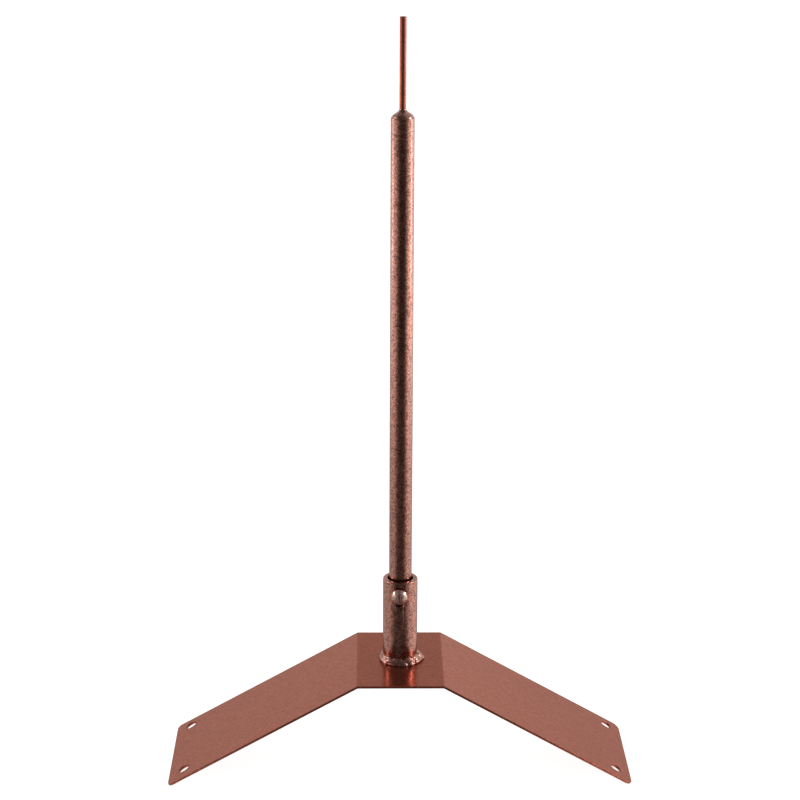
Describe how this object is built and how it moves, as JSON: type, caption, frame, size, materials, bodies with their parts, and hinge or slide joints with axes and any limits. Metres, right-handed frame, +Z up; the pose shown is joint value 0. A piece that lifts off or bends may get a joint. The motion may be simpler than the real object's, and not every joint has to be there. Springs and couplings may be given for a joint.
{
  "type": "weathervane roof mount",
  "caption": "Bent steel saddle plate for a roof ridge, with a socket collar welded on its flat middle and a clamped tube mast ending in a thin spindle pin.",
  "frame": {"origin": "middle of the stance, at the height of the wings' lowest edges, under the centre of the saddle plate", "axes": "+Z up along the mast, +X along the plate towards its right wing, +Y away from the side with the clamp screw"},
  "size_m": [0.358, 0.1016, 0.5822],
  "materials": {
    "plate_coat": "glossy copper-coloured powder coat, faintly mottled",
    "hammered_coat": "glossy copper-coloured powder coat with a fine hammered vein",
    "weld_coat": "glossy copper-coloured powder coat over a rippled weld",
    "screw_coat": "bright copper-coloured coat on a slotted screw"
  },
  "bodies": {
    "root": {"saddle_plate": "plate_coat", "socket_collar": "hammered_coat", "collar_weld": "weld_coat", "clamp_screw": "screw_coat", "mast": "hammered_coat", "spindle_weld": "weld_coat", "spindle_pin": "plate_coat"}
  },
  "joints": []
}
